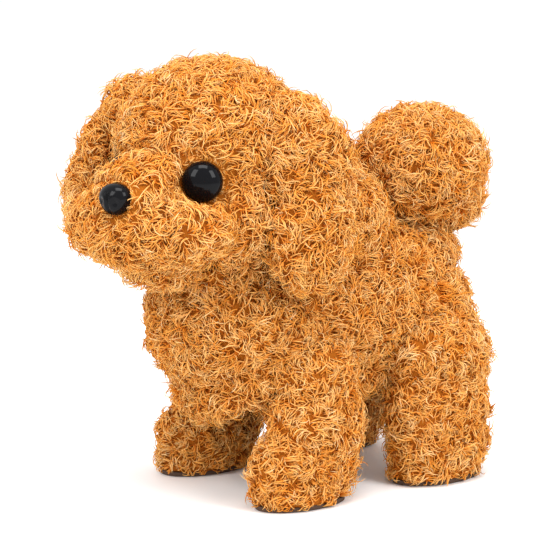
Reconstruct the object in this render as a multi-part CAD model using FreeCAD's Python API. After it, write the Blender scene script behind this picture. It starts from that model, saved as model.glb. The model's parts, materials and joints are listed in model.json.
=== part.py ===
import FreeCAD, Part
import math
import os

# An interactive plush dog, standing on four legs. Millimetres.
# The dog faces -Y, its left side is +X, and its soles stand on Z = 0.
# The origin is the centre of the bounding box's bottom face.

V = FreeCAD.Vector
X_AXIS = V(1, 0, 0)
Y_AXIS = V(0, 1, 0)
Z_AXIS = V(0, 0, 1)

# Driving dimensions
SLIP = 0.3                     # gap between a soft cover and what is next to it
RUN = 0.05                     # radial clearance of a running fit
WALL = 2.0                     # moulded wall
SPLIT = 0.05                   # half of the gap between two clamped shells

# Gearbox
CRANK_TEETH = 36
CRANK_MODULE = 0.8
PINION_TEETH = 10
WHEEL_B_TEETH = 28
WHEEL_B_MODULE = 0.6
WHEEL_A_TEETH = 24
WHEEL_A_MODULE = 0.5
PRESSURE_ANGLE = math.radians(25)
ADDENDUM = 0.85
DEDENDUM = 1.2
BACKLASH = 0.22
MIDDLE_AXLE = (9.0, 70.5)      # (Y, Z) of the middle gear
AXLE_R = 1.5
PIN_R = 1.0
WHEEL_B_ANGLE = math.radians(-60)
MOTOR_AT = (41.5, 47.2)
CRANK_X = (9.5, 12.5)          # plane of the three large gears
WHEEL_B_X = (6.0, 8.0)
WHEEL_A_X = (3.0, 4.6)

# Chassis, drawn as a side profile
CHASSIS_HALF_W = 15.5
CHASSIS_TOP = 88.2
CHASSIS_PROFILE = [(-37.6, 52.5), (-37.6, CHASSIS_TOP), (46.0, CHASSIS_TOP), (60.0, 76.5),
                   (60.0, 50.5), (46.0, 40.0), (26.8, 40.0), (26.8, 52.5)]
CHASSIS_SCREWS = [(-34.0, 84.5), (-34.0, 56.2), (-5.4, 84.5), (23.4, 84.5), (55.6, 75.5)]

# Battery box under the chassis, with two round cells
BOX_HALF_W = 17.0
BOX_Y = (-42.2, 26.0)
BOX_Z = (33.5, 52.0)
BAY_Y = (-31.2, 24.4)
CELL_R = 7.1
CELL_LENGTH = 50.5
CELL_X = 7.6
CELL_Z = 43.1
DOOR_HINGE = (22.0, 35.5)      # (Y, Z)
DOOR_T = 1.6

# Legs
LEG_X = 31.5
PIVOT_Z = 56.5
ARM_X = (21.8, 26.8)
CRANK_THROW = 2.0
LEG_SWING = math.radians(8)
FOOT_SHIFT = 3.2               # the feet stand this far outside their pivots
SOLE_T = 1.6
SLEEVE_TOP = 48.0

# Soft outline
BODY = ((0, 10, 64.5), (38, 72, 33.5))
CHEST = ((0, -32, 60), (34, 33, 29))
NECK = ((0, -8, 98), (29, 40, 26))
HEAD = ((0, -33, 129.5), (32.5, 36, 32.5))
MUZZLE = ((0, -67, 111), (31, 21, 22))
CHIN = ((0, -66, 90), (19, 14, 7))
EAR_LEFT = ((42, -34, 115), (8, 17, 38))
EAR_RIGHT = ((-46.37, -44, 115), (8, 17, 38))    # hangs a little further forward
TAIL = ((0, 60, 113), (25, 28, 21))
HEAD_TURN = 20.0               # the head looks this many degrees to its left
HEAD_AHEAD = 8.5               # and sits this far ahead of the place its sizes are given at

# Inside of the head
SKULL = ((0, -35, 128), (24, 27, 25))
SKULL_WALL = 2.0
SKULL_SCREWS = [(-11.0, 140.0), (11.0, 140.0)]   # (X, Z)
SNOUT_R = 11.0
SNOUT_Z = 113.0
SNOUT_FRONT = -78.0
JAW_HINGE = (-46.0, 100.0)
SPEAKER_Z = 70.5
NECK_POST_Y = -33.0             # in the head's own sizes: the axis that it is turned about
NECK_Y = NECK_POST_Y - HEAD_AHEAD
EYE_AT = (17.5, -62.0, 123.0)
EYE_DIRECTION = V(0.56, -0.81, -0.12)
EYE_R = 6.9
NOSE = ((0, -85.5, 117), (6.5, 4.5, 5.5))
SHANK_R = 2.5

# Tail arm
WAG_Y = 42.0
ELBOW_Z = 97.5

nodes = {}


def box(x, y, z):
    """A block between two values on each axis."""
    return Part.makeBox(x[1] - x[0], y[1] - y[0], z[1] - z[0], V(x[0], y[0], z[0]))


def rod_x(at, radius, x):
    """A cylinder along X through (Y, Z)."""
    return Part.makeCylinder(radius, x[1] - x[0], V(x[0], at[0], at[1]), X_AXIS)


def rod_y(at, radius, y):
    """A cylinder along Y through (X, Z)."""
    return Part.makeCylinder(radius, y[1] - y[0], V(at[0], y[0], at[1]), Y_AXIS)


def rod_z(at, radius, z):
    """A cylinder along Z through (X, Y)."""
    return Part.makeCylinder(radius, z[1] - z[0], V(at[0], at[1], z[0]), Z_AXIS)


def rod_between(start, end, radius):
    """A cylinder from one point to another."""
    run = end - start
    return Part.makeCylinder(radius, run.Length, start, run)


def ellipsoid(place, grow=0.0):
    """An ellipsoid, given as (centre, half axes), grown by a gap."""
    centre, half = place
    size = [h + grow for h in half]
    ball = Part.makeSphere(1.0)
    matrix = FreeCAD.Matrix(size[0], 0, 0, centre[0], 0, size[1], 0, centre[1],
                            0, 0, size[2], centre[2], 0, 0, 0, 1)
    return ball.transformGeometry(matrix)


def oval_column(centre, half_low, half_high, z):
    """A column whose oval section changes from its lower to its upper end."""
    sections = []
    for half, height in ((half_low, z[0]), (half_high, z[1])):
        middle = V(centre[0], centre[1], height)
        curve = Part.Ellipse(middle + V(0, half[1], 0), middle + V(half[0], 0, 0), middle)
        sections.append(Part.Wire([curve.toShape()]))
    return Part.makeLoft(sections, True, True)


def side_prism(profile, x):
    """A (Y, Z) profile pulled along X."""
    points = [V(x[0], y, z) for y, z in profile]
    face = Part.Face(Part.makePolygon(points + points[:1]))
    return face.extrude(V(x[1] - x[0], 0, 0))


def shrunk(profile, gap):
    """A (Y, Z) profile moved inwards by a gap, or outwards if it is negative."""
    points = [V(0, y, z) for y, z in profile]
    wire = Part.makePolygon(points + points[:1])
    moved = wire.makeOffset2D(-gap, 2)
    return [(v.Y, v.Z) for v in moved.OrderedVertexes]


def mirrored(shape):
    """The same piece on the other side of the dog."""
    return shape.mirror(V(0, 0, 0), X_AXIS)


def turned(shape):
    """A piece of the head, turned with it about the neck's axis."""
    moved = shape.copy()
    moved.rotate(V(0, NECK_POST_Y, 0), Z_AXIS, HEAD_TURN)
    moved.translate(V(0, -HEAD_AHEAD, 0))
    return moved


def add(name, *solids):
    """Keeps a node: one solid, or a group of separate ones."""
    found = [s for shape in solids for s in shape.Solids]
    nodes[name] = found[0] if len(found) == 1 else Part.makeCompound(found)


def involute(angle):
    return math.tan(angle) - angle


def gear(teeth, module, at, x, phase):
    """A spur gear about X whose first tooth points at the phase angle."""
    pitch_r = teeth * module / 2
    base_r = pitch_r * math.cos(PRESSURE_ANGLE)
    root_r = pitch_r - DEDENDUM * module
    tip_r = pitch_r + ADDENDUM * module
    half = (math.pi * module / 2 - BACKLASH) / (2 * pitch_r) + involute(PRESSURE_ANGLE)
    flank = [(root_r, half)]
    for radius in (max(base_r, root_r + 0.01), pitch_r, (pitch_r + tip_r) / 2, tip_r):
        flank.append((radius, half - involute(math.acos(min(1.0, base_r / radius)))))
    points = []
    for tooth in range(teeth):
        middle = phase + 2 * math.pi * tooth / teeth
        outline = [(r, middle - a) for r, a in flank] + [(r, middle + a) for r, a in flank[::-1]]
        points += [(at[0] + r * math.cos(a), at[1] + r * math.sin(a)) for r, a in outline]
    return side_prism(points, x)


def mesh_phase(first, first_teeth, first_phase, second, second_teeth):
    """The phase that puts a gap of the second gear over a tooth of the first."""
    line = math.atan2(second[1] - first[1], second[0] - first[0])
    lag = (line - first_phase) % (2 * math.pi / first_teeth)
    return line + math.pi + lag * first_teeth / second_teeth + math.pi / second_teeth


def meeting_point(first, first_r, second, second_r):
    """The point at two given distances from two centres, on the upper front side."""
    dy = second[0] - first[0]
    dz = second[1] - first[1]
    gap = math.hypot(dy, dz)
    along = (gap ** 2 + first_r ** 2 - second_r ** 2) / (2 * gap)
    off = math.sqrt(first_r ** 2 - along ** 2)
    return (first[0] + (along * dy - off * dz) / gap, first[1] + (along * dz + off * dy) / gap)


# Gear centres follow from the tooth numbers
CRANK_R = CRANK_TEETH * CRANK_MODULE / 2
FRONT_AXLE = (MIDDLE_AXLE[0] - 2 * CRANK_R, MIDDLE_AXLE[1])
REAR_AXLE = (MIDDLE_AXLE[0] + 2 * CRANK_R, MIDDLE_AXLE[1])
REACH_B = (CRANK_TEETH + PINION_TEETH) * CRANK_MODULE / 2
AXLE_B = (REAR_AXLE[0] + REACH_B * math.cos(WHEEL_B_ANGLE),
          REAR_AXLE[1] + REACH_B * math.sin(WHEEL_B_ANGLE))
AXLE_A = meeting_point(MOTOR_AT, (PINION_TEETH + WHEEL_A_TEETH) * WHEEL_A_MODULE / 2,
                       AXLE_B, (PINION_TEETH + WHEEL_B_TEETH) * WHEEL_B_MODULE / 2)


def gear_train():
    """Motor pinion, two reduction gears, and three large gears that turn the cranks."""
    middle = gear(CRANK_TEETH, CRANK_MODULE, MIDDLE_AXLE, CRANK_X, 0.0)
    hub = rod_x(MIDDLE_AXLE, 3.0, (8.6, CRANK_X[1]))
    add("middle_gear", middle.fuse(hub).cut(rod_x(MIDDLE_AXLE, PIN_R + RUN, (8, 13))))

    phases = {}
    for name, at in (("front", FRONT_AXLE), ("rear", REAR_AXLE)):
        phases[name] = mesh_phase(MIDDLE_AXLE, CRANK_TEETH, 0.0, at, CRANK_TEETH)
        wheel = gear(CRANK_TEETH, CRANK_MODULE, at, CRANK_X, phases[name])
        hub = rod_x(at, 3.2, (6.2 if name == "front" else 8.8, CRANK_X[1]))
        add(name + "_crank_gear", wheel.fuse(hub).cut(rod_x(at, AXLE_R + 0.02, (5, 13))))
        add(name + "_axle", rod_x(at, AXLE_R, (-18.5, 18.5)))

    phase = mesh_phase(REAR_AXLE, CRANK_TEETH, phases["rear"], AXLE_B, PINION_TEETH)
    pinion = gear(PINION_TEETH, CRANK_MODULE, AXLE_B, (WHEEL_B_X[1], CRANK_X[1]), phase)
    wheel = gear(WHEEL_B_TEETH, WHEEL_B_MODULE, AXLE_B, WHEEL_B_X, 0.0)
    bore = rod_x(AXLE_B, PIN_R + RUN, (5, 13))
    add("reduction_gear_low", pinion.fuse(wheel).cut(bore))

    phase = mesh_phase(AXLE_B, WHEEL_B_TEETH, 0.0, AXLE_A, PINION_TEETH)
    pinion = gear(PINION_TEETH, WHEEL_B_MODULE, AXLE_A, (WHEEL_A_X[1], WHEEL_B_X[1]), phase)
    wheel = gear(WHEEL_A_TEETH, WHEEL_A_MODULE, AXLE_A, WHEEL_A_X, 0.0)
    bore = rod_x(AXLE_A, PIN_R + RUN, (2, 9))
    add("reduction_gear_high", pinion.fuse(wheel).cut(bore))

    phase = mesh_phase(AXLE_A, WHEEL_A_TEETH, 0.0, MOTOR_AT, PINION_TEETH)
    pinion = gear(PINION_TEETH, WHEEL_A_MODULE, MOTOR_AT, (2.6, 5.0), phase)
    add("motor_pinion", pinion.cut(rod_x(MOTOR_AT, 0.77, (2, 6))))

    pins = [rod_x(MIDDLE_AXLE, PIN_R, (8.0, CHASSIS_HALF_W)),
            rod_x(AXLE_B, PIN_R, (5.4, CHASSIS_HALF_W)),
            rod_x(AXLE_A, PIN_R, (2.4, CHASSIS_HALF_W))]
    add("gear_pins", *pins)


def motor():
    """A small flat-sided motor lying across the chassis, with its rotor."""
    y, z = MOTOR_AT
    can = rod_x(MOTOR_AT, 6.0, (-10.5, 1.5)).common(box((-11, 2), (y - 6, y + 6), (z - 5, z + 5)))
    can = can.cut([rod_x(MOTOR_AT, 4.3, (-10.6, 0.6)), rod_x(MOTOR_AT, 0.85, (0, 2))])
    add("motor_can", can)
    cap = rod_x(MOTOR_AT, 6.0, (-13.0, -10.55)).common(
        box((-14, -10), (y - 6, y + 6), (z - 5, z + 5)))
    add("motor_end_cap", cap.cut(rod_x(MOTOR_AT, 0.85, (-12.4, -10))))
    add("motor_rotor", rod_x(MOTOR_AT, 0.75, (-12.2, 5.0)).fuse(rod_x(MOTOR_AT, 3.9, (-9.4, -0.4))))


def crank_discs():
    """A disc with an offset pin on each end of each axle, half a turn apart."""
    for name, at in (("front", FRONT_AXLE), ("rear", REAR_AXLE)):
        for side, sign in (("left", 1), ("right", -1)):
            up = sign if name == "front" else -sign
            pin_at = (at[0], at[1] + up * CRANK_THROW)
            disc = rod_x(at, 5.5, (16.1, 18.6)).cut(rod_x(at, AXLE_R + 0.02, (16, 18.7)))
            disc = disc.fuse(rod_x(pin_at, 1.2, (18.6, ARM_X[0] - 0.5)))
            disc = disc.fuse(rod_x(at, 5.5, (18.55, 19.0)))
            add("%s_crank_%s" % (name, side), disc if sign > 0 else mirrored(disc))


def leg_pivots():
    return {"front": FRONT_AXLE[0], "rear": REAR_AXLE[0]}


def chassis():
    """Two clamped halves with bearings, leg pivots, screw posts and a neck flange seat."""
    outer = side_prism(CHASSIS_PROFILE, (-CHASSIS_HALF_W, CHASSIS_HALF_W))
    inner_half = CHASSIS_HALF_W - WALL
    inner = side_prism(shrunk(CHASSIS_PROFILE, WALL), (-inner_half, inner_half))
    shell = outer.cut(inner)
    posts = [rod_x(at, 2.6, (-inner_half - 0.5, inner_half + 0.5)) for at in CHASSIS_SCREWS]
    bosses = []
    for y in leg_pivots().values():
        for x in ((15.0, 21.3), (-21.3, -15.0)):
            bosses.append(rod_x((y, PIVOT_Z), 3.5, x))
    tail_socket = rod_z((0, WAG_Y), 5.5, (79.5, 93.0))
    shell = shell.fuse(posts + bosses + [tail_socket])
    holes = []
    for at in (FRONT_AXLE, REAR_AXLE):
        holes.append(rod_x(at, AXLE_R + RUN, (-20, 20)))
    for at in (MIDDLE_AXLE, AXLE_A, AXLE_B):
        holes.append(rod_x(at, PIN_R + 0.02, (10, 20)))
    for y in leg_pivots().values():
        holes.append(rod_x((y, PIVOT_Z), 1.22, (-22, 22)))
    for at in CHASSIS_SCREWS:
        holes.append(rod_x(at, 1.05, (-20, 8.5)))
        holes.append(rod_x(at, 2.3, (-20, -13.9)))
    holes.append(rod_z((0, WAG_Y), 3.05, (78, 97)))
    holes.append(rod_y((-8, 80.5), 1.2, (-40, -30)))
    holes.append(rod_z((-11.8, 10), 1.2, (51, 58)))
    shell = shell.cut(holes)
    for side, x in (("left", (SPLIT, 30)), ("right", (-30, -SPLIT))):
        add("chassis_" + side, shell.common(box(x, (-60, 80), (20, 110))))


def screws():
    """Self-tapping screws: gearbox, skull, and the shouldered ones that carry the legs."""
    group = []
    for at in CHASSIS_SCREWS:
        group.append(rod_x(at, 1.0, (-15.4, 8.0)).fuse(rod_x(at, 2.0, (-15.4, -14.0))))
    for at in SKULL_SCREWS:
        group.append(turned(rod_y(at, 1.0, (-44.0, -20.6)).fuse(rod_y(at, 2.0, (-21.9, -20.6)))))
    add("housing_screws", *group)
    pivots = []
    for y in leg_pivots().values():
        at = (y, PIVOT_Z)
        screw = rod_x(at, 1.2, (15.7, 21.3)).fuse(rod_x(at, 2.0, (21.35, ARM_X[1] + 0.15)))
        screw = screw.fuse(rod_x(at, 1.2, (21.0, 21.6)))
        screw = screw.fuse(rod_x(at, 3.4, (ARM_X[1] + 0.1, 28.2)))
        pivots += [screw, mirrored(screw)]
    add("leg_pivot_screws", *pivots)


def leg(name, pivot_y, foot_y, side):
    """A rocking leg: frame with a crank slot, soft sleeve and thin sole."""
    arm = box(ARM_X, (pivot_y - 5.5, pivot_y + 5.5), (48.0, 75.8))
    shank = box((ARM_X[0], 33.0), (foot_y - 6, foot_y + 6), (4.0, 50.0))
    foot = oval_column((LEG_X, foot_y - 1, 0), (9.5, 17), (9.5, 17), (SOLE_T + 0.3, 5.0))
    frame = arm.fuse([shank, foot])
    slot_z = (MIDDLE_AXLE[1] - 3.3, MIDDLE_AXLE[1] + 3.3)
    slot = box((ARM_X[0] - 1, ARM_X[1] + 1), (pivot_y - 1.35, pivot_y + 1.35), slot_z)
    frame = frame.cut([slot, rod_x((pivot_y, PIVOT_Z), 2.0 + RUN, (20, 30))])
    cavity = box((ARM_X[0] - SLIP, 33.0 + SLIP), (foot_y - 6 - SLIP, foot_y + 6 + SLIP), (1, 52))
    room = oval_column((LEG_X, foot_y - 1, 0), (9.8, 17.3), (9.8, 17.3), (1.0, 5.3))
    arm_room = box((ARM_X[0] - SLIP, ARM_X[1] + SLIP),
                   (min(pivot_y, foot_y) - 9.5, max(pivot_y, foot_y) + 9.5), (46.5, 52))
    sleeve = oval_column((LEG_X, foot_y - 1.5, 0), (13.3, 21.5), (12.8, 19.5),
                         (SOLE_T + 0.02, SLEEVE_TOP))
    sleeve = sleeve.cut([cavity, room, arm_room])
    sole = oval_column((LEG_X, foot_y - 1.5, 0), (11.2, 18.8), (11.2, 18.8), (0, SOLE_T))
    pieces = {"leg_frame": frame, "leg_sleeve": sleeve, "foot_sole": sole}
    for piece, shape in pieces.items():
        add("%s_%s_%s" % (piece, name, side), shape if side == "left" else mirrored(shape))


def battery_bay():
    """Box, door with a captive screw, two cells and their contacts."""
    wall = 1.7
    outer = box((-BOX_HALF_W, BOX_HALF_W), BOX_Y, BOX_Z)
    bay = box((-BOX_HALF_W + wall, BOX_HALF_W - wall), BAY_Y, (BOX_Z[0] - 1, BOX_Z[1] - 1.5))
    switch_room = box((-10, 10), (BOX_Y[0] + 1.5, BAY_Y[0] - 1.2), (BOX_Z[0] + 2, BOX_Z[1] - 1.5))
    slot = box((-4.4, 4.4), (BOX_Y[0] + 3.7, BOX_Y[0] + 6.9), (BOX_Z[0] - 1, BOX_Z[0] + 3))
    hinge_holes = rod_x(DOOR_HINGE, 1.0 + RUN, (-18, 18))
    screw_post = box((-3.4, 3.4), (BAY_Y[0] - 0.5, BAY_Y[0] + 0.2),
                     (BOX_Z[0] + 2, BOX_Z[1] - 2.5))
    holes = [bay, switch_room, slot, hinge_holes]
    add("battery_box", outer.cut(holes).fuse(screw_post))
    for side, sign in (("left", 1), ("right", -1)):
        end = (BAY_Y[0] + 0.7, BAY_Y[0] + 0.7 + CELL_LENGTH)
        cell = rod_y((sign * CELL_X, CELL_Z), CELL_R, (end[0] + 1.0, end[1]))
        add("battery_cell_" + side, cell.fuse(rod_y((sign * CELL_X, CELL_Z), 2.6, end)))
    contacts = []
    for sign in (1, -1):
        at = (sign * CELL_X, CELL_Z)
        contacts.append(rod_y(at, 4.0, (BAY_Y[0] + 0.25, BAY_Y[0] + 0.65)))
        spring_end = BAY_Y[0] + 0.75 + CELL_LENGTH
        plate = rod_y(at, 5.0, (BAY_Y[1] - 0.5, BAY_Y[1] - 0.05))
        cone = Part.makeCone(2.4, 4.2, BAY_Y[1] - 0.4 - spring_end, V(at[0], spring_end, at[1]), Y_AXIS)
        bore = Part.makeCone(1.8, 3.6, BAY_Y[1] - spring_end, V(at[0], spring_end, at[1]), Y_AXIS)
        contacts.append(plate.fuse(cone.cut(bore)))
    add("battery_contacts", *contacts)

    low = BOX_Z[0] + 0.05
    leaf = box((-14.9, 14.9), (BAY_Y[0] + 0.3, DOOR_HINGE[0] + 1.0), (low, low + DOOR_T))
    knuckles = []
    for x in ((12.9, 14.9), (-14.9, -12.9)):
        knuckles.append(rod_x(DOOR_HINGE, 1.9, x))
    for x in ((14.8, 16.4), (-16.4, -14.8)):
        knuckles.append(rod_x(DOOR_HINGE, 1.0, x))
    grip = [box((-6, 6), (y, y + 0.7), (low - 0.35, low + 0.1)) for y in (14.0, 16.0, 18.0)]
    lug = box((-2.4, 2.4), (BAY_Y[0] + 1.4, BAY_Y[0] + 5.6), (low + 1.0, low + 2.0))
    door = leaf.fuse(knuckles + grip + [lug])
    screw_at = (0, BAY_Y[0] + 3.5)
    door = door.cut([rod_z(screw_at, 0.9, (low - 1, low + 4)),
                     rod_z(screw_at, 1.75, (low - 1, low + 0.8))])
    add("battery_door", door)
    screw = rod_z(screw_at, 0.85, (low + 0.2, low + 3.2))
    screw = screw.fuse(rod_z(screw_at, 1.65, (low + 0.05, low + 0.75)))
    cross = [box((-1.2, 1.2), (screw_at[1] - 0.2, screw_at[1] + 0.2), (30, low + 0.35)),
             box((-0.2, 0.2), (screw_at[1] - 1.2, screw_at[1] + 1.2), (30, low + 0.35))]
    add("battery_door_screw", screw.cut(cross))


def power_switch():
    """Slide switch behind a slot in the box's floor."""
    y = BOX_Y[0] + 5.3
    floor = BOX_Z[0]
    room = box((-4.8, 4.8), (y - 1.9, y + 1.9), (floor + 2.0, floor + 4.5))
    add("switch_housing", box((-6.5, 6.5), (y - 3.4, y + 3.4), (floor + 2.05, floor + 8.0)).cut(room))
    knob = box((-4.0, 1.0), (y - 1.4, y + 1.4), (floor - 1.1, floor + 4.0))
    ribs = [box((x, x + 0.5), (y - 2, y + 2), (floor - 1.2, floor - 0.7))
            for x in (-3.3, -2.3, -1.3, -0.3)]
    add("power_switch", knob.cut(ribs))


def electronics():
    """Circuit board on the right wall, speaker in the chest, and the leads."""
    board = box((-12.6, -11.0), (-12, 30), (58.5, 81.5))
    chips = [box((-11.1, -8.8), (0, 9), (62, 71)), box((-11.1, -9.5), (14, 19), (64, 70)),
             box((-11.1, -7.0), (-12, -8), (77, 81.5)), rod_x((22, 75), 2.5, (-11.1, -6.5))]
    add("circuit_board", board.fuse(chips))
    basket = rod_y((0, SPEAKER_Z), 13.0, (-44.0, -38.0))
    cone = Part.makeCone(11.0, 4.0, 4.5, V(0, -44.0, SPEAKER_Z), Y_AXIS)
    add("speaker", basket.cut(cone).fuse(rod_y((0, SPEAKER_Z), 3.0, (-41.5, -39.0))))
    leads = [rod_y((-8, 80.5), 0.6, (-37.95, -12.05)),
             rod_z((-11.8, 10), 0.6, (BOX_Z[1] + 0.02, 58.45))]
    bend = V(-11.8, 36.0, 62.5)
    up = rod_between(V(-11.8, 36.0, MOTOR_AT[1] + 5.1), bend, 0.6)
    back = rod_between(bend, V(-11.8, 30.05, 62.5), 0.6)
    leads.append(up.fuse([back, Part.makeSphere(0.6, bend)]))
    add("leads", *leads)


def neck():
    base = CHASSIS_TOP + 0.05
    flange = box((-12, 12), (NECK_Y - 9.0, NECK_Y + 19.5), (base, base + 2.6))
    post = rod_z((0, NECK_Y), 9.0, (base, 105.0))
    gusset = side_prism([(NECK_Y + 6, base + 2), (NECK_Y + 17, base + 2), (NECK_Y + 6, base + 7.5)],
                        (-1.5, 1.5))
    add("neck_post", flange.fuse([post, gusset]).cut(rod_z((0, NECK_Y), 4.4, (80, 110))))


def eye_axis(sign):
    direction = V(sign * EYE_DIRECTION.x, EYE_DIRECTION.y, EYE_DIRECTION.z)
    return V(sign * EYE_AT[0], EYE_AT[1], EYE_AT[2]), direction.normalize()


def eye(sign):
    """A domed safety eye on a shank, turned outwards."""
    seat, out = eye_axis(sign)
    radius = 8.6
    depth = math.sqrt(radius ** 2 - EYE_R ** 2)
    ball = Part.makeSphere(radius, seat - out * depth)
    dome = ball.common(Part.makeCylinder(EYE_R + 2, 20, seat, out))
    rim = Part.makeCylinder(EYE_R, 1.4, seat - out * 1.4, out)
    shank = Part.makeCylinder(SHANK_R, 13.0, seat - out * 14.0, out)
    return dome.fuse([rim, shank])


def washer(start, out, z_shift=0.0):
    ring = Part.makeCylinder(5.0, 1.2, start + V(0, 0, z_shift), out)
    return ring.cut(Part.makeCylinder(SHANK_R + 0.05, 5, start - out * 2, out))


def head():
    """Skull shells, jaw, safety eyes and nose, and the plush over them."""
    skull = ellipsoid(SKULL).fuse(rod_y((0, SNOUT_Z), SNOUT_R, (SNOUT_FRONT, -48)))
    socket = rod_z((0, NECK_POST_Y), 11.5, (94.5, 110.0))
    bracket = box((-7, 7), (JAW_HINGE[0] - 4, JAW_HINGE[0] + 4), (96.5, 110.0))
    solid_skull = skull.fuse([socket, bracket])
    hollow = ellipsoid(SKULL, -SKULL_WALL)
    snout_room = rod_y((0, SNOUT_Z), SNOUT_R - 1.8, (SNOUT_FRONT + 1.8, -48))
    posts = [rod_y(at, 2.6, (-58, -12)).common(ellipsoid(SKULL, -0.4)) for at in SKULL_SCREWS]
    shell = solid_skull.cut([hollow, snout_room])
    shell = shell.fuse(posts)
    holes = [rod_z((0, NECK_POST_Y), 9.05, (90, 106)),
             rod_x(JAW_HINGE, 1.5 + RUN, (-8, 8)),
             rod_y((0, NOSE[0][2]), SHANK_R + RUN, (-80, -70))]
    for at in SKULL_SCREWS:
        holes.append(rod_y(at, 1.05, (-44.5, -10)))
        holes.append(rod_y(at, 2.3, (-22.0, -10)))
    for sign in (1, -1):
        seat, out = eye_axis(sign)
        holes.append(Part.makeCylinder(SHANK_R + RUN, 30, seat - out * 26, out))
        holes.append(Part.makeCylinder(5.4, 6, seat - out * 14.6, out))
    shell = shell.cut(holes)
    split = SKULL[0][1]
    add("skull_front", turned(shell.common(box((-40, 40), (-100, split - SPLIT), (80, 170)))))
    add("skull_back", turned(shell.common(box((-40, 40), (split + SPLIT, 20), (80, 170)))))

    jaw = box((-12, 12), (-77, -52), (94.2, 96.0))
    for x in ((7.3, 9.6), (-9.6, -7.3)):
        jaw = jaw.fuse([box(x, (-54, JAW_HINGE[0] + 1), (94.2, 96.4)), rod_x(JAW_HINGE, 3.0, x),
                        box(x, (JAW_HINGE[0] - 3, JAW_HINGE[0] + 1), (94.2, JAW_HINGE[1]))])
    for x in ((4.5, 7.4), (-7.4, -4.5)):
        jaw = jaw.fuse(rod_x(JAW_HINGE, 1.5, x))
    add("jaw_shell", turned(jaw))
    add("chin_cover", turned(ellipsoid(CHIN).common(box((-30, 30), (-90, -40), (78, 94.0)))))

    for side, sign in (("left", 1), ("right", -1)):
        add("eye_" + side, turned(eye(sign)))
    nose = ellipsoid(NOSE).fuse(rod_y((0, NOSE[0][2]), SHANK_R, (-86, -72.5)))
    add("nose", turned(nose))
    washers = [washer(V(0, SNOUT_FRONT + 1.85, NOSE[0][2]), Y_AXIS)]
    for sign in (1, -1):
        seat, out = eye_axis(sign)
        washers.append(washer(seat - out * 13.2, out))
    add("safety_washers", *[turned(ring) for ring in washers])

    cover = ellipsoid(HEAD).fuse(ellipsoid(MUZZLE))
    holes = [ellipsoid(SKULL, SLIP), rod_y((0, SNOUT_Z), SNOUT_R + SLIP, (SNOUT_FRONT - SLIP, -48)),
             rod_z((0, NECK_POST_Y), 11.5 + SLIP, (80, 110)),
             box((-7.3, 7.3), (-50.3, -41.7), (88, 110)),
             box((-20.5, 20.5), (-95, -41), (78, 96.6)),
             box((-10.2, 10.2), (-50, -41), (88, 104)),
             ellipsoid(NOSE, SLIP), rod_y((0, NOSE[0][2]), SHANK_R + RUN, (-86, -70))]
    for sign in (1, -1):
        seat, out = eye_axis(sign)
        holes.append(Part.makeCylinder(EYE_R + SLIP, 9, seat - out * 1.7, out))
        holes.append(Part.makeCylinder(SHANK_R + RUN, 16, seat - out * 14, out))
    add("head_cover", turned(cover.cut(holes)))
    for side, form in (("left", EAR_LEFT), ("right", EAR_RIGHT)):
        add("ear_" + side, turned(ellipsoid(form).cut(ellipsoid(HEAD, SLIP))))


def tail():
    """A wagging arm in a round plush tail."""
    base = V(0, WAG_Y, ELBOW_Z)
    tip = V(*TAIL[0])
    arm = rod_z((0, WAG_Y), 3.0, (81.5, ELBOW_Z))
    arm = arm.fuse([rod_z((0, WAG_Y), 5.0, (93.1, 94.5)), Part.makeSphere(3.2, base),
                    rod_between(base, tip, 3.0), Part.makeSphere(5.5, tip)])
    add("tail_arm", arm)
    room = rod_between(base, tip, 3.0 + SLIP).fuse([
        Part.makeSphere(5.5 + SLIP, tip), Part.makeSphere(3.2 + SLIP, base),
        rod_z((0, WAG_Y), 5.0 + SLIP, (85.0, 94.5 + SLIP)),
        rod_z((0, WAG_Y), 3.0 + SLIP, (94.0, ELBOW_Z))])
    add("tail_cover", ellipsoid(TAIL).cut(room))


def body_cover():
    """Padded plush over the chassis: rump, back, chest and neck in one."""
    cover = ellipsoid(BODY).fuse([ellipsoid(CHEST), ellipsoid(NECK)])
    chassis_room = side_prism(shrunk(CHASSIS_PROFILE, -SLIP), (-16.0, 16.0))
    holes = [chassis_room] + [turned(ellipsoid(part, SLIP)) for part in (HEAD, MUZZLE, CHIN)]
    holes.append(box((-17.4, 17.4), (BOX_Y[0] - SLIP, BOX_Y[1] + 1.2), (20, 53.5)))
    holes.append(rod_y((0, SPEAKER_Z), 13.4, (-44.4, -37)))
    holes.append(box((-12.4, 12.4), (NECK_Y - 9.4, NECK_Y + 19.9), (86, 91.3)))
    holes.append(box((-1.9, 1.9), (NECK_Y, NECK_Y + 18), (90, 96.3)))
    holes.append(rod_z((0, NECK_Y), 12.0, (86, 112)))
    holes.append(rod_z((0, WAG_Y), 6.2, (78, 110)))
    for x in ((15.9, 28.6), (-28.6, -15.9)):
        for name, y in leg_pivots().items():
            holes.append(box(x, (y - 9.0, y + 9.0), (47, 76.5)))
    for sign in (1, -1):
        for y in (FRONT_AXLE[0] - FOOT_SHIFT, REAR_AXLE[0] + FOOT_SHIFT):
            pocket = oval_column((LEG_X, y - 1.5, 0), (14.8, 25.5), (14.8, 23.5), (20, 52))
            pocket = pocket.fuse(box((15.9, LEG_X), (y - 12, y + 12), (20, 52)))
            holes.append(pocket if sign > 0 else mirrored(pocket))
    cover = cover.cut(holes)
    largest = max(cover.Solids, key=lambda s: s.Volume)
    add("body_cover", largest)


def legs():
    for name, pivot_y, shift in (("front", FRONT_AXLE[0], -FOOT_SHIFT),
                                 ("rear", REAR_AXLE[0], FOOT_SHIFT)):
        for side in ("left", "right"):
            leg(name, pivot_y, pivot_y + shift, side)


gear_train()
motor()
crank_discs()
chassis()
screws()
legs()
battery_bay()
power_switch()
electronics()
neck()
head()
tail()
body_cover()

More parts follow.
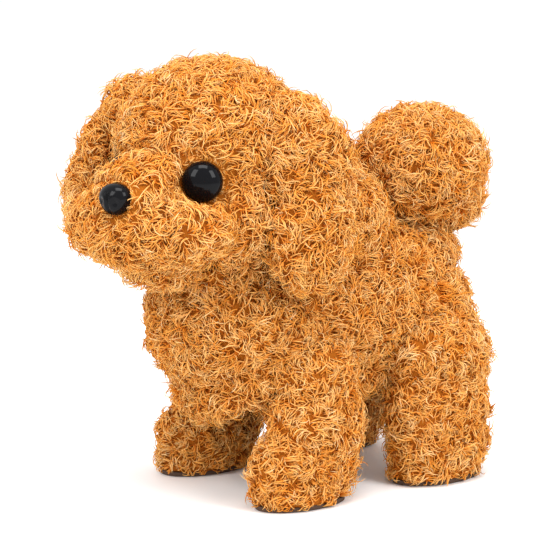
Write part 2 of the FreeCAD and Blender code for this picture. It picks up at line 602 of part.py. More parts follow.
# The origin goes under the middle of the whole dog, on the floor
whole = Part.makeCompound(list(nodes.values())).optimalBoundingBox(False)
to_middle = V(-(whole.XMin + whole.XMax) / 2, -(whole.YMin + whole.YMax) / 2, -whole.ZMin)
os.makedirs("parts", exist_ok=True)
for node, shape in nodes.items():
    shape.translate(to_middle)
    shape.exportStep("parts/%s.step" % node)
print(len(nodes), "nodes;", [round(v, 3) for v in (whole.XLength, whole.YLength, whole.ZLength)],
      "moved by", [round(v, 4) for v in to_middle])
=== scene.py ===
import json
import math

import bpy
import bmesh
import numpy as np
from mathutils import Matrix, Vector, kdtree


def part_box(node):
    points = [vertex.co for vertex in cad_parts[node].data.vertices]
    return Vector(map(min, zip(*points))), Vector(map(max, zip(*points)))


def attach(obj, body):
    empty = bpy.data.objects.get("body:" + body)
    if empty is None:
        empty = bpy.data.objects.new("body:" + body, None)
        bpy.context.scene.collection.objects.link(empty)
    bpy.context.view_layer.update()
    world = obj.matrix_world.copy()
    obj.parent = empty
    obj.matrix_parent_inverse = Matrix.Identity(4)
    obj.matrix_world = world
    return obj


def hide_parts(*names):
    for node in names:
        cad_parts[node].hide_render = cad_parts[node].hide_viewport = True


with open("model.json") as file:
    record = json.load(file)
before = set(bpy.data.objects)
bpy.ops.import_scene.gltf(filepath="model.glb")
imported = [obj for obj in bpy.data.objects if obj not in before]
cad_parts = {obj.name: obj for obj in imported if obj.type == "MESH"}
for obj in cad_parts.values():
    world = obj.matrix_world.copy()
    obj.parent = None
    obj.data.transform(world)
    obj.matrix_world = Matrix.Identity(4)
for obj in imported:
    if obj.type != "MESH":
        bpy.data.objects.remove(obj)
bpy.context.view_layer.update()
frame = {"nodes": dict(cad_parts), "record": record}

# A walking plush dog with curly fur. It faces -Y, its left side is +X, and +Z is up.
# The frame is in metres; MM turns the millimetres of the sizes below into metres.

MM = 0.001

# Curls: real strands, each a closed tube with three sides that tapers to its tip
CURLS_PER_MM2 = 1.3     # strands for each square millimetre of skin
CURL_R = 0.26 * MM    # a strand's radius at its thickest
CURL_RINGS = 6                              # rings of three corners along a strand
CURL_LENGTH = 7.8 * MM
LOCK_SPACING = 2.8 * MM                     # distance between neighbouring locks
PIECE_LIMIT = 5900                          # strands in one piece of fur
TINTS = 32                                  # colour columns that a strand can have
ROOT_DEPTH = 0.6 * MM                       # how far below the backing a strand starts
STRAY_SHARE = 0.15                          # strands that leave their lock's direction

# Buttons: the eyes and the nose press the skin in and part the fur round them
EYE_HOLE = 7.3 * MM
NOSE_HOLE = 5.9 * MM
PRESSED = 1.9                               # radii out to which a button presses the skin in
PRESS_DEPTH = 1.0 * MM                      # how far below its seat it presses the skin
PRESS_REACH = 15 * MM                       # fur skin further out than this isn't pressed

# Legs and belly
SOLE_TOP = 1.7 * MM                         # the skin of a leg is cut off here
LEG_FUR_FROM = 2.2 * MM                     # and its fur grows above here
WINDOW_EDGE = 0.6 * MM                      # bare edge round the battery box


def centre_of(node):
    low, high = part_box(node)
    return (low + high) / 2


# ---------------------------------------------------------------- materials

def new_material(name):
    material = bpy.data.materials.new(name)
    material.use_nodes = True
    tree = material.node_tree
    shader = tree.nodes["Principled BSDF"]
    return material, tree, shader


def node(tree, kind, **values):
    made = tree.nodes.new(kind)
    for key, value in values.items():
        if key in made.inputs:
            made.inputs[key].default_value = value
        else:
            setattr(made, key, value)
    return made


def ramp(tree, source, stops):
    made = tree.nodes.new("ShaderNodeValToRGB")
    tree.links.new(source, made.inputs["Fac"])
    marks = made.color_ramp.elements
    while len(marks) < len(stops):
        marks.new(0.5)
    for mark, (place, colour) in zip(marks, stops):
        mark.position = place
        mark.color = (*colour, 1.0)
    return made.outputs["Color"]


def grained(name, colour, roughness, grain_scale, depth, spread=0.12, coat=0.0, metallic=0.0,
            specular=0.5):
    """A moulded, drawn or painted surface: slight colour variation and a fine bump."""
    material, tree, shader = new_material(name)
    place = tree.nodes.new("ShaderNodeTexCoord")
    fine = node(tree, "ShaderNodeTexNoise", Scale=grain_scale, Detail=4.0)
    wide = node(tree, "ShaderNodeTexNoise", Scale=grain_scale / 14, Detail=2.0)
    for texture in (fine, wide):
        tree.links.new(place.outputs["Object"], texture.inputs["Vector"])
    dark = tuple(c * (1 - spread) for c in colour)
    light = tuple(min(1.0, c * (1 + spread)) for c in colour)
    tree.links.new(ramp(tree, wide.outputs["Fac"], [(0.3, dark), (0.7, light)]),
                   shader.inputs["Base Color"])
    bump = node(tree, "ShaderNodeBump", Strength=0.35, Distance=depth)
    tree.links.new(fine.outputs["Fac"], bump.inputs["Height"])
    tree.links.new(bump.outputs["Normal"], shader.inputs["Normal"])
    shader.inputs["Roughness"].default_value = roughness
    shader.inputs["Metallic"].default_value = metallic
    shader.inputs["Coat Weight"].default_value = coat
    shader.inputs["Specular IOR Level"].default_value = specular
    shader.inputs["Coat Roughness"].default_value = 0.06
    return material


def fur_material():
    """Strand colour from its own UV map: U picks the tint, V runs from root to tip and darkens the
    root as painted shade.
    """
    material, tree, shader = new_material("curly_fur")
    uv = node(tree, "ShaderNodeUVMap", uv_map="OFBake")
    split = tree.nodes.new("ShaderNodeSeparateXYZ")
    tree.links.new(uv.outputs["UV"], split.inputs["Vector"])
    column = node(tree, "ShaderNodeMath", operation="SNAP")
    column.inputs[1].default_value = 1.0 / TINTS
    tree.links.new(split.outputs["X"], column.inputs[0])
    tint = ramp(tree, column.outputs["Value"], [
        (0.0, (0.60, 0.21, 0.018)), (0.3, (0.76, 0.355, 0.072)),
        (0.62, (0.83, 0.50, 0.185)), (0.97, (0.88, 0.645, 0.36))])
    # Painted shade: along V the strand turns darker and redder towards its root, where shade falls
    # deep in the pile.
    depth = ramp(tree, split.outputs["Y"], [
        (0.0, (0.68, 0.24, 0.04)), (0.35, (0.94, 0.68, 0.38)),
        (0.75, (1.0, 0.96, 0.90)), (1.0, (1.0, 1.0, 1.0))])
    mix = node(tree, "ShaderNodeMix", data_type="RGBA", blend_type="MULTIPLY")
    mix.inputs["Factor"].default_value = 1.0
    tree.links.new(tint, mix.inputs["A"])
    tree.links.new(depth, mix.inputs["B"])
    tree.links.new(mix.outputs["Result"], shader.inputs["Base Color"])
    shader.inputs["Roughness"].default_value = 0.55
    shader.inputs["Specular IOR Level"].default_value = 0.02
    return material


def shaded_backing_material():
    """Knitted backing cloth that the pile grows from, seen only between the locks, coloured deep
    red-brown as painted shade in those gaps.
    """
    material, tree, shader = new_material("knit_backing_painted_shade")
    place = tree.nodes.new("ShaderNodeTexCoord")
    knit = node(tree, "ShaderNodeTexVoronoi", Scale=1400.0)
    cloud = node(tree, "ShaderNodeTexNoise", Scale=160.0, Detail=3.0)
    for texture in (knit, cloud):
        tree.links.new(place.outputs["Object"], texture.inputs["Vector"])
    # Painted shade: the backing is dark so that the gaps between the locks look shaded.
    tree.links.new(ramp(tree, cloud.outputs["Fac"], [(0.3, (0.26, 0.070, 0.005)),
                                                     (0.7, (0.38, 0.110, 0.010))]),
                   shader.inputs["Base Color"])
    bump = node(tree, "ShaderNodeBump", Strength=0.6, Distance=0.0003)
    tree.links.new(knit.outputs["Distance"], bump.inputs["Height"])
    tree.links.new(bump.outputs["Normal"], shader.inputs["Normal"])
    shader.inputs["Roughness"].default_value = 0.9
    shader.inputs["Specular IOR Level"].default_value = 0.05
    return material


FUR = fur_material()
SHADED_BACKING = shaded_backing_material()
SLOT_MATERIALS = {
    "sole": grained("brown_sole", (0.060, 0.028, 0.014), 0.75, 900, 0.0002),
    "eye_black": grained("eye_gloss", (0.003, 0.003, 0.004), 0.05, 300, 0.00001, specular=0.12),
    "nose_black": grained("nose_gloss", (0.004, 0.004, 0.005), 0.11, 500, 0.00003, specular=0.12),
    "housing_plastic": grained("housing_abs", (0.62, 0.60, 0.55), 0.48, 1500, 0.00006, 0.03),
    "tan_plastic": grained("tan_abs", (0.42, 0.19, 0.06), 0.5, 1500, 0.00006, 0.05),
    "door_plastic": grained("door_abs", (0.085, 0.050, 0.030), 0.5, 1500, 0.00008, 0.06),
    "switch_plastic": grained("switch_black", (0.012, 0.012, 0.013), 0.32, 1500, 0.00004),
    "nylon": grained("nylon", (0.78, 0.76, 0.69), 0.42, 1100, 0.00004, 0.03),
    "steel": grained("drawn_steel", (0.55, 0.55, 0.56), 0.28, 2200, 0.00003, 0.05, metallic=1.0),
    "dark_plastic": grained("black_abs", (0.022, 0.022, 0.025), 0.5, 1500, 0.00005),
    "cell_jacket": grained("cell_film", (0.03, 0.08, 0.20), 0.3, 700, 0.00002, 0.05, coat=0.4),
    "nickel": grained("nickel_plate", (0.72, 0.69, 0.63), 0.2, 2000, 0.00002, 0.04, metallic=1.0),
    "board_green": grained("solder_mask", (0.012, 0.13, 0.045), 0.38, 900, 0.00004, 0.1),
    "lead_red": grained("pvc_red", (0.42, 0.015, 0.012), 0.45, 900, 0.00004, 0.05),
}


def dress_cad_nodes():
    """Each carried-over CAD node whose slot is listed gets that slot's material."""
    for entry in frame["record"]["subparts"]:
        if entry["material_slot"] not in SLOT_MATERIALS:
            continue
        mesh = frame["nodes"][entry["node"]].data
        mesh.materials.clear()
        mesh.materials.append(SLOT_MATERIALS[entry["material_slot"]])


# ---------------------------------------------------------------- soft forms

def ball(centre, half, tilt=(0.0, 0.0, 0.0)):
    """An ellipsoid in millimetres: centre, half axes and tilt in degrees about X, Y and Z."""
    turn = Matrix.Rotation(math.radians(tilt[2]), 3, "Z")
    turn = turn @ Matrix.Rotation(math.radians(tilt[1]), 3, "Y")
    turn = turn @ Matrix.Rotation(math.radians(tilt[0]), 3, "X")
    return {"centre": Vector(centre) * MM, "half": Vector(half) * MM, "turn": turn}


def placed(node_name, balls):
    """Balls given from a CAD node's centre, moved into the frame."""
    middle = centre_of(node_name)
    moved = []
    for one in balls:
        moved.append({**one, "centre": one["centre"] + middle})
    return moved


def headed(balls):
    """Balls given in the head's own directions from the neck's axis, heights from the floor."""
    turn = Matrix.Rotation(HEAD_TURN, 3, "Z")
    return [{"centre": on_head(one["centre"] / MM), "half": one["half"],
             "turn": turn @ one["turn"]} for one in balls]


def on_head(point):
    """A point of the head, from its own millimetres into the frame."""
    return Matrix.Rotation(HEAD_TURN, 3, "Z") @ (Vector(point) * MM) + NECK_AXIS


def mirrored(balls):
    """The same balls on the other side of the dog."""
    flip = Matrix.Diagonal((-1, 1, 1))
    made = []
    for one in balls:
        centre = one["centre"].copy()
        centre.x = -centre.x
        made.append({"centre": centre, "half": one["half"], "turn": flip @ one["turn"] @ flip})
    return made


def skin(name, balls, voxel=1.5 * MM, rounds=6, floor=None, window=None, buttons=()):
    """One sewn form: the balls are joined, remeshed into one closed surface and relaxed.

    It is cut off flat at floor. Within window, a box, its underside is raised to the box's top.
    Each button presses it in to the button's seat.
    """
    bm = bmesh.new()
    for one in balls:
        made = bmesh.ops.create_icosphere(bm, subdivisions=4, radius=1.0)
        shape = one["turn"].to_4x4() @ Matrix.Diagonal((*one["half"], 1.0))
        bmesh.ops.transform(bm, matrix=Matrix.Translation(one["centre"]) @ shape,
                            verts=made["verts"])
    mesh = bpy.data.meshes.new(name)
    bm.to_mesh(mesh)
    bm.free()
    thing = bpy.data.objects.new(name, mesh)
    bpy.context.scene.collection.objects.link(thing)
    remesh = thing.modifiers.new("join", "REMESH")
    remesh.mode = "VOXEL"
    remesh.voxel_size = voxel
    relax = thing.modifiers.new("relax", "SMOOTH")
    relax.factor = 0.5
    relax.iterations = rounds
    depsgraph = bpy.context.evaluated_depsgraph_get()
    result = bpy.data.meshes.new_from_object(thing.evaluated_get(depsgraph))
    thing.modifiers.clear()
    thing.data = result
    bpy.data.meshes.remove(mesh)
    result.name = name
    if floor is not None:
        for vertex in result.vertices:
            vertex.co.z = max(vertex.co.z, floor)
    if window is not None:
        low, high = window
        for vertex in result.vertices:
            x, y, z = vertex.co
            if low.x < x < high.x and low.y < y < high.y and z < high.z:
                vertex.co.z = high.z
    for seat, out, radius in buttons:
        for vertex in result.vertices:
            height = (vertex.co - seat).dot(out)
            gap = (vertex.co - seat - out * height).length
            if -PRESS_DEPTH < height < PRESS_REACH and gap < radius * PRESSED:
                share = min(1.0, (radius * PRESSED - gap) / (radius * 0.8))
                vertex.co -= out * (height + PRESS_DEPTH) * share
    result.shade_smooth()
    # The skin wears the backing, whose dark colour is painted shade between the locks.
    result.materials.append(SHADED_BACKING)
    return thing


# ---------------------------------------------------------------- curls

def surface_points(thing, per_mm2, rng):
    """Random points on a mesh, so many for each square millimetre, with smooth normals."""
    mesh = thing.data
    mesh.calc_loop_triangles()
    corners = np.empty(len(mesh.loop_triangles) * 3, np.int32)
    mesh.loop_triangles.foreach_get("vertices", corners)
    corners = corners.reshape(-1, 3)
    co = np.empty(len(mesh.vertices) * 3, np.float32)
    mesh.vertices.foreach_get("co", co)
    co = co.reshape(-1, 3)
    normal = np.empty(len(mesh.vertices) * 3, np.float32)
    mesh.vertices.foreach_get("normal", normal)
    normal = normal.reshape(-1, 3)
    a, b, c = co[corners[:, 0]], co[corners[:, 1]], co[corners[:, 2]]
    area = np.linalg.norm(np.cross(b - a, c - a), axis=1) / 2
    count = int(area.sum() / MM ** 2 * per_mm2)
    pick = rng.choice(len(area), size=count, p=area / area.sum())
    u, v = rng.random(count), rng.random(count)
    flip = u + v > 1
    u[flip], v[flip] = 1 - u[flip], 1 - v[flip]
    w = 1 - u - v
    weights = np.stack([w, u, v], axis=1)[:, :, None]
    points = (co[corners[pick]] * weights).sum(axis=1)
    normals = (normal[corners[pick]] * weights).sum(axis=1)
    return points, unit(normals)


def unit(vectors):
    return vectors / np.maximum(np.linalg.norm(vectors, axis=-1, keepdims=True), 1e-9)


def depth_in(points, balls):
    """Below 1 where a point is inside any of the balls."""
    least = np.full(len(points), 9.0)
    for one in balls:
        local = (points - np.array(one["centre"])) @ np.array(one["turn"])
        least = np.minimum(least, np.linalg.norm(local / np.array(one["half"]), axis=1))
    return least


def lock_field(points, normals, rng):
    """Each strand's lock: which way it leans, how it curls, and its length and tint."""
    area_share = len(points) / CURLS_PER_MM2 * MM ** 2
    locks = max(8, int(area_share / LOCK_SPACING ** 2))
    chosen = rng.choice(len(points), size=locks, replace=False)
    tree = kdtree.KDTree(locks)
    for index, point in enumerate(points[chosen]):
        tree.insert(point, index)
    tree.balance()
    member = np.array([tree.find(p)[1] for p in points])
    lean = rng.random(locks) * 2 * math.pi
    return {
        "centre": points[chosen][member],
        "lean": lean[member],
        "curl": rng.uniform(1.5, 3.6, locks)[member],
        "twist": rng.normal(0.0, 1.1, locks)[member],
        "length": rng.uniform(0.78, 1.15, locks)[member],
        "tint": rng.normal(0.0, 0.13, locks)[member],
    }


def grow(points, normals, rng, length, droop, buttons):
    """Centre lines of curly strands, as an array of strands, rings and coordinates."""
    count = len(points)
    lock = lock_field(points, normals, rng)
    helper = np.where(np.abs(normals[:, 2:3]) < 0.9, [[0.0, 0.0, 1.0]], [[1.0, 0.0, 0.0]])
    east = unit(np.cross(helper, normals))
    north = np.cross(normals, east)
    stray = rng.random(count) < STRAY_SHARE
    turn = lock["lean"] + rng.normal(0.0, 0.34, count)
    turn = np.where(stray, rng.random(count) * 2 * math.pi, turn)
    bend = lock["curl"] * rng.uniform(0.8, 1.15, count)
    twist = lock["twist"] + rng.normal(0.0, 0.28, count)
    size = length * lock["length"] * rng.uniform(0.72, 1.12, count)
    size *= np.where(stray, 1.15, 1.0)
    for seat, _, radius in buttons:
        gap = np.linalg.norm(points - np.array(seat), axis=1)
        size *= np.clip((gap / radius - 0.55) / 1.5, 0.3, 1.0)
    start = rng.uniform(0.05, 0.5, count)
    toward = (lock["centre"] - points) * 0.32
    lines = np.empty((count, CURL_RINGS, 3))
    place = points - normals * ROOT_DEPTH
    lines[:, 0] = place
    steps = CURL_RINGS - 1
    for ring in range(1, CURL_RINGS):
        t = (ring - 0.5) / steps
        lean = (start + bend * t)[:, None]
        spin = (turn + twist * t * 1.6)[:, None]
        side = east * np.cos(spin) + north * np.sin(spin)
        heading = normals * np.cos(lean) + side * np.sin(lean)
        heading[:, 2] -= droop * t
        place = place + unit(heading) * (size / steps)[:, None] + toward / steps
        lines[:, ring] = place
    good = np.ones(count, bool)
    for seat, out, radius in buttons:
        good &= pushed_aside(lines, np.array(seat), np.array(out), radius)
    tint = 0.5 + lock["tint"] + rng.normal(0.0, 0.11, count)
    return lines[good], np.clip(tint[good], 0.0, 0.999)


def pushed_aside(lines, seat, out, radius):
    """Pushes strands out of the cylinder that a button stands in. False marks those under it."""
    from_seat = lines - seat
    height = from_seat @ out
    sideways = from_seat - height[:, :, None] * out
    gap = np.linalg.norm(sideways, axis=2)
    inside = (height > -0.004) & (height < 0.014) & (gap < radius)
    scale = np.where(inside, radius / np.maximum(gap, 1e-6), 1.0)
    lines += sideways * (scale - 1.0)[:, :, None]
    return ~((gap[:, 0] < radius * 0.8) & (np.abs(height[:, 0]) < 0.012))


def strand_mesh(name, lines, tints, rng):
    """One piece of fur: closed three-sided tubes along the centre lines."""
    count = len(lines)
    along = np.empty_like(lines)
    along[:, 1:-1] = lines[:, 2:] - lines[:, :-2]
    along[:, 0] = lines[:, 1] - lines[:, 0]
    along[:, -1] = lines[:, -1] - lines[:, -2]
    along = unit(along)
    helper = unit(rng.normal(size=(count, 1, 3)))
    side = unit(np.cross(along, helper))
    other = np.cross(along, side)
    t = np.linspace(0.0, 1.0, CURL_RINGS)
    radius = CURL_R * np.clip(1.0 - 0.82 * t ** 3.0, 0.18, 1.0)
    radius = radius[None, :] * rng.uniform(0.72, 1.2, (count, 1))
    angle = np.arange(3) * 2 * math.pi / 3
    ring = (side[:, :, None] * np.cos(angle)[:, None] + other[:, :, None] * np.sin(angle)[:, None])
    verts = lines[:, :, None] + ring * radius[:, :, None, None]
    per = CURL_RINGS * 3
    faces = []
    for r in range(CURL_RINGS - 1):
        for k in range(3):
            n = (k + 1) % 3
            faces.append([r * 3 + k, r * 3 + n, r * 3 + 3 + n, r * 3 + 3 + k])
    fans = [[2, 1, 0], [per - 3, per - 2, per - 1]]
    pattern = np.array([v for f in faces + fans for v in f])
    starts_one = np.cumsum([0] + [len(f) for f in faces + fans])[:-1]
    corners = len(pattern)
    base = np.arange(count)[:, None]
    loops = (base * per + pattern[None, :]).ravel().astype(np.int32)
    starts = (base * corners + starts_one[None, :]).ravel().astype(np.int32)
    mesh = bpy.data.meshes.new(name)
    mesh.vertices.add(count * per)
    mesh.vertices.foreach_set("co", verts.reshape(-1).astype(np.float32))
    mesh.loops.add(len(loops))
    mesh.loops.foreach_set("vertex_index", loops)
    mesh.polygons.add(len(starts))
    mesh.polygons.foreach_set("loop_start", starts)
    mesh.update(calc_edges=True)
    uv = mesh.uv_layers.new(name="OFBake")
    along_v = np.array([(v // 3) / (CURL_RINGS - 1) for v in pattern])
    across = []
    for f in faces:
        across += [0.12, 0.88, 0.88, 0.12]
    across += [0.12, 0.5, 0.88] * 2
    column = np.floor(tints * TINTS) / TINTS
    u = column[:, None] + np.array(across)[None, :] / TINTS
    v = np.broadcast_to(along_v[None, :] * 0.98 + 0.01, u.shape)
    uv.data.foreach_set("uv", np.stack([u, v], axis=2).reshape(-1).astype(np.float32))
    mesh.shade_smooth()
    mesh.materials.append(FUR)
    thing = bpy.data.objects.new(name, mesh)
    bpy.context.scene.collection.objects.link(thing)
    return thing


def fur(name, thing, seed, hidden_by, length=1.0, droop=0.15, buttons=(), above=None, window=None):
    """Covers a skin with curls and returns the pieces, none with too many strands."""
    rng = np.random.default_rng(seed)
    points, normals = surface_points(thing, CURLS_PER_MM2, rng)
    shown = depth_in(points, hidden_by) > 0.93
    if above is not None:
        shown &= points[:, 2] > above
    if window is not None:
        low, high = (np.array(corner) for corner in window)
        shown &= ~((points > low) & (points < high + 0.0005)).all(axis=1)
    points, normals = points[shown], normals[shown]
    lines, tints = grow(points, normals, rng, CURL_LENGTH * length, droop, buttons)
    lines[:, :, 2] = np.maximum(lines[:, :, 2], 0.0006)
    order = np.argsort(lines[:, 0, 1])
    parts = max(1, math.ceil(len(lines) / PIECE_LIMIT))
    made = []
    for index, chosen in enumerate(np.array_split(order, parts)):
        label = f"{name}_pile_{index + 1}" if parts > 1 else f"{name}_pile"
        made.append(strand_mesh(label, lines[chosen], tints[chosen], rng))
    return made


# ---------------------------------------------------------------- hard trim

def lathe(name, profile, seat, out, material, sides=72):
    """A turned piece: (radius, height) in millimetres about an axis from seat towards out."""
    bm = bmesh.new()
    rings = []
    for radius, height in profile:
        if radius == 0:
            rings.append([bm.verts.new((0, 0, height * MM))])
            continue
        angles = [2 * math.pi * k / sides for k in range(sides)]
        rings.append([bm.verts.new((radius * MM * math.cos(a), radius * MM * math.sin(a),
                                    height * MM)) for a in angles])
    for upper, lower in zip(rings, rings[1:]):
        for k in range(sides):
            n = (k + 1) % sides
            if len(upper) == 1:
                bm.faces.new((upper[0], lower[k], lower[n]))
            elif len(lower) == 1:
                bm.faces.new((upper[k], lower[0], upper[n]))
            else:
                bm.faces.new((upper[k], lower[k], lower[n], upper[n]))
    bmesh.ops.recalc_face_normals(bm, faces=bm.faces)
    turn = out.to_track_quat("Z", "Y").to_matrix().to_4x4()
    bmesh.ops.transform(bm, matrix=Matrix.Translation(seat) @ turn, verts=bm.verts)
    mesh = bpy.data.meshes.new(name)
    bm.to_mesh(mesh)
    bm.free()
    mesh.shade_smooth()
    mesh.materials.append(material)
    thing = bpy.data.objects.new(name, mesh)
    bpy.context.scene.collection.objects.link(thing)
    return thing


def eye(side, sign):
    """A domed eye with a thin collar, on its shank."""
    dome_r, dome_h = 7.2, 4.9
    profile = [(0, dome_h)]
    for step in range(1, 17):
        angle = math.pi / 2 * step / 16
        profile.append((dome_r * math.sin(angle), dome_h * math.cos(angle)))
    profile += [(dome_r + 0.1, -0.3), (dome_r + 0.1, -0.9), (dome_r - 0.3, -1.4), (2.6, -1.5),
                (2.5, -10.0), (0, -10.0)]
    seat, out = button_seat(EYE_SEAT, EYE_OUT, sign)
    thing = lathe("eye_dome_" + side, profile, seat, out, SLOT_MATERIALS["eye_black"])
    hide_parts("eye_" + side)
    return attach(thing, "chassis")


def nose():
    """A moulded nose: wide on top, with a groove down the middle and two nostrils."""
    bm = bmesh.new()
    bmesh.ops.create_icosphere(bm, subdivisions=6, radius=1.0)
    for vert in bm.verts:
        x, y, z = vert.co
        wide = 6.1 * (1.0 + 0.13 * z)
        px, py, pz = x * wide, y * 5.4, z * 5.7
        if y < 0.3:
            groove = 1.1 * math.exp(-(px / 0.6) ** 2) * (1.0 if pz < 2.2 else max(0.0, 3.2 - pz))
            pits = sum(math.exp(-(((px - s * 2.9) / 1.15) ** 2 + ((pz + 0.6) / 1.5) ** 2))
                       for s in (-1, 1))
            py += (groove + 0.95 * pits) * min(1.0, max(0.0, (0.3 - y) * 2))
        vert.co = on_head(NOSE_SEAT + Vector((px, py, pz)))
    mesh = bpy.data.meshes.new("nose_button")
    bm.to_mesh(mesh)
    bm.free()
    mesh.shade_smooth()
    mesh.materials.append(SLOT_MATERIALS["nose_black"])
    thing = bpy.data.objects.new("nose_button", mesh)
    bpy.context.scene.collection.objects.link(thing)
    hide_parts("nose")
    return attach(thing, "chassis")


# ---------------------------------------------------------------- the dog

HEAD_TURN = math.radians(20)        # the head looks to its left by this much
FLANGE_BEHIND = 19.5 * MM           # the neck flange ends this far behind the post's axis
NECK_AXIS = Vector((0.0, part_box("neck_post")[1].y - FLANGE_BEHIND, 0.0))

# In the head's own directions: from the neck's axis, heights from the floor
EYE_SEAT = Vector((18.1, -30.9, 121.7))
EYE_OUT = Vector((0.56, -0.81, 0.04))
NOSE_SEAT = Vector((0.0, -57.0, 117.2))
NOSE_OUT = Vector((0.0, -1.0, 0.0))

HEAD_BALLS = headed([
    ball((0, -1, 129.5), (33, 34.5, 31.5)),
    ball((0, 12, 127), (28.5, 27.5, 29.5)),
    ball((19, -11, 107), (14, 18, 17)),
    ball((-19, -11, 107), (14, 18, 17)),
    ball((0, -25, 116), (17, 18, 15)),
    ball((0, -38.5, 106.5), (31.5, 20.5, 15)),
    ball((0, -39, 113), (20, 19.5, 17.3)),
])
BODY_BALLS = placed("body_cover", [
    ball((0, -0.5, -13.5), (33.5, 63, 28.5)),
    ball((0, -41.5, -12.5), (31, 31, 27)),
    ball((0, -35, -31), (31, 24.5, 16.5)),
    ball((0, -4, -35), (27.5, 46, 15)),
    ball((0, 39.6, 4), (20, 20, 12)),
    ball((0, 16, 1), (27, 31, 17.5)),
    ball((0, -8.4, 20), (27, 33, 24)),
    ball((0, -47.5, 7.5), (24, 23.5, 17)),
    ball((0, -52.4, -40), (19, 6.5, 8.5)),
    ball((0, 36, -18), (32, 25.5, 25)),
    ball((23.5, 36.5, -33), (15, 22, 21)),
    ball((-23.5, 36.5, -33), (15, 22, 21)),
    ball((22, -29, -27), (14, 16, 22)),
    ball((-22, -29, -27), (14, 16, 22)),
])
EAR_SHAPE = [
    ball((31, 6.5, 138), (9.5, 14, 12)),
    ball((39, 5, 125), (8, 16.5, 20), (0, 0, -25)),
    ball((42, 2, 101), (8, 15.5, 20.5), (0, 0, -25)),
]
EAR_LEFT_BALLS = headed(EAR_SHAPE)
FAR_EAR_SHAPE = [
    ball((-29.5, -6.5, 141.5), (10.5, 12.5, 12)),
    ball((-41.5, -9, 123), (7.5, 14.5, 18), (0, 0, 12)),
    ball((-45, -13, 112), (8.5, 15, 15), (0, 0, 20)),
]
EAR_RIGHT_BALLS = headed(FAR_EAR_SHAPE)
TAIL_BALLS = placed("tail_cover", [
    ball((0, -3.8, 2.6), (22.5, 25.6, 22.3)),
    ball((0, -15, -13), (9, 9, 10)),
    ball((0, 5, -10), (15, 17, 13)),
])
CHIN_BALLS = headed([ball((0, -31.5, 90.3), (14, 11, 5.7))])
PAW = [ball((0, -0.6, -19), (12.3, 18.8, 12)), ball((0, 1.4, -11), (12.3, 21.2, 15.7))]
LEG_SHAPES = {
    "front": PAW + [ball((0, 7, 3), (12.5, 18.5, 24)), ball((-1.5, 7, 21.8), (12.5, 16.5, 15))],
    "rear": PAW + [ball((0, 0.3, 1.8), (12.3, 22.3, 24)), ball((-1.5, 1, 21.8), (12.5, 21.5, 15))],
}
LEG_BALLS = {}
for end, shape in LEG_SHAPES.items():
    LEG_BALLS[end, "left"] = placed(f"leg_sleeve_{end}_left", shape)
    LEG_BALLS[end, "right"] = mirrored(LEG_BALLS[end, "left"])
ALL_LEGS = [one for balls in LEG_BALLS.values() for one in balls]


def keep(thing, body, node_name=None):
    """Puts a soft piece on its body and hides the CAD node that it stands for."""
    if node_name:
        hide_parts(node_name)
    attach(thing, body)


def soft_part(name, balls, body, node_name, seed, hidden_by, window=None, buttons=(), **options):
    """A skin and its curls, riding on one body."""
    thing = skin(name + "_skin", balls, window=window, buttons=buttons)
    keep(thing, body, node_name)
    for piece in fur(name, thing, seed, hidden_by, window=window, buttons=buttons, **options):
        keep(piece, body)


def button_seat(place, direction, sign=1):
    """Where a button sits on the turned head, and which way it faces."""
    seat = on_head((sign * place.x, place.y, place.z))
    tip = on_head((sign * (place.x + direction.x), place.y + direction.y, place.z + direction.z))
    return seat, (tip - seat).normalized()


def dog():
    buttons = [(*button_seat(EYE_SEAT, EYE_OUT, sign), EYE_HOLE) for sign in (1, -1)]
    buttons.append((*button_seat(NOSE_SEAT, NOSE_OUT), NOSE_HOLE))
    soft_part("head", HEAD_BALLS, "chassis", "head_cover", 11, BODY_BALLS, buttons=buttons)
    low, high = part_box("battery_box")
    edge = Vector((WINDOW_EDGE, WINDOW_EDGE, 0))
    soft_part("body", BODY_BALLS, "chassis", "body_cover", 12, HEAD_BALLS + ALL_LEGS,
              window=(low - edge, high + edge))
    soft_part("ear_left", EAR_LEFT_BALLS, "chassis", "ear_left", 13, HEAD_BALLS, droop=0.3)
    soft_part("ear_right", EAR_RIGHT_BALLS, "chassis", "ear_right", 14, HEAD_BALLS, droop=0.3)
    soft_part("tail", TAIL_BALLS, "tail", "tail_cover", 15, BODY_BALLS)
    soft_part("chin", CHIN_BALLS, "jaw", "chin_cover", 16, HEAD_BALLS)
    for index, ((end, side), balls) in enumerate(LEG_BALLS.items()):
        name = f"leg_{end}_{side}"
        thing = skin(name + "_skin", balls, floor=SOLE_TOP)
        keep(thing, name, f"leg_sleeve_{end}_{side}")
        for piece in fur(name, thing, 20 + index, BODY_BALLS, length=0.85, droop=0.3,
                         above=LEG_FUR_FROM):
            keep(piece, name)
    eye("left", 1)
    eye("right", -1)
    nose()


# ---------------------------------------------------------------- studio

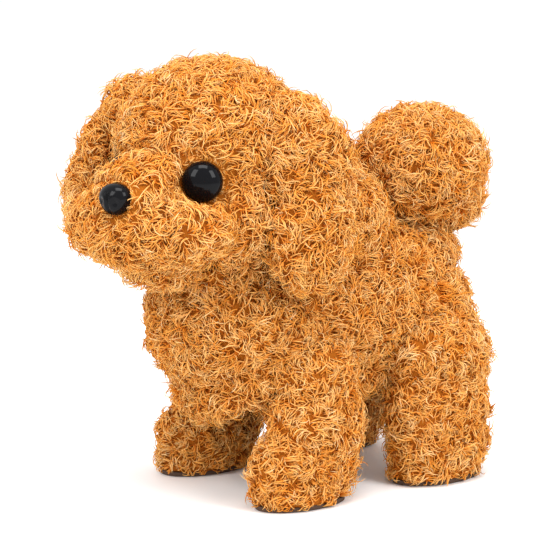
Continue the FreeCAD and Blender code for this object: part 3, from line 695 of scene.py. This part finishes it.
def camera():
    """Long lens, a little above the dog, in front of its left shoulder."""
    azimuth, elevation = math.radians(54.5), math.radians(10)
    aim = Vector((-4.4, -6.1, 78.2)) * MM
    back = Vector((math.sin(azimuth) * math.cos(elevation),
                   -math.cos(azimuth) * math.cos(elevation), math.sin(elevation)))
    data = bpy.data.cameras.new("camera")
    data.lens = 155.6
    data.clip_start = 0.05
    thing = bpy.data.objects.new("camera", data)
    thing.location = aim + back * 0.9
    thing.rotation_mode = "QUATERNION"
    thing.rotation_quaternion = (-back).to_track_quat("-Z", "Y")
    bpy.context.scene.collection.objects.link(thing)
    bpy.context.scene.camera = thing


def area_light(name, azimuth, elevation, distance, width, height, power):
    """A soft box at an azimuth and elevation about the dog, aimed at it."""
    a, e = math.radians(azimuth), math.radians(elevation)
    aim = Vector((0, 0, 80)) * MM
    back = Vector((math.sin(a) * math.cos(e), -math.cos(a) * math.cos(e), math.sin(e)))
    data = bpy.data.lights.new(name, "AREA")
    data.shape = "RECTANGLE"
    data.size, data.size_y = width, height
    data.energy = power
    thing = bpy.data.objects.new(name, data)
    thing.location = aim + back * distance
    thing.rotation_mode = "QUATERNION"
    thing.rotation_quaternion = (-back).to_track_quat("-Z", "Y")
    bpy.context.scene.collection.objects.link(thing)


def studio():
    scene = bpy.context.scene
    scene.view_settings.view_transform = "Standard"
    scene.view_settings.look = "None"
    world = bpy.data.worlds.new("studio")
    scene.world = world
    world.use_nodes = True
    background = world.node_tree.nodes["Background"]
    background.inputs["Color"].default_value = (1.0, 1.0, 1.0, 1.0)
    background.inputs["Strength"].default_value = 1.05
    bpy.ops.mesh.primitive_plane_add(size=30.0, location=(0, 0, -0.0002))
    floor = bpy.context.object
    floor.name = "floor"
    material, _, shader = new_material("white_floor")
    shader.inputs["Base Color"].default_value = (0.96, 0.96, 0.96, 1.0)
    shader.inputs["Roughness"].default_value = 0.6
    floor.data.materials.append(material)
    area_light("key", 10, 38, 1.1, 0.42, 0.60, 5.6)
    area_light("fill", 105, 35, 1.1, 0.40, 0.60, 6.0)
    area_light("top", 55, 78, 1.0, 0.56, 0.42, 6.0)


camera()
studio()
dress_cad_nodes()
dog()
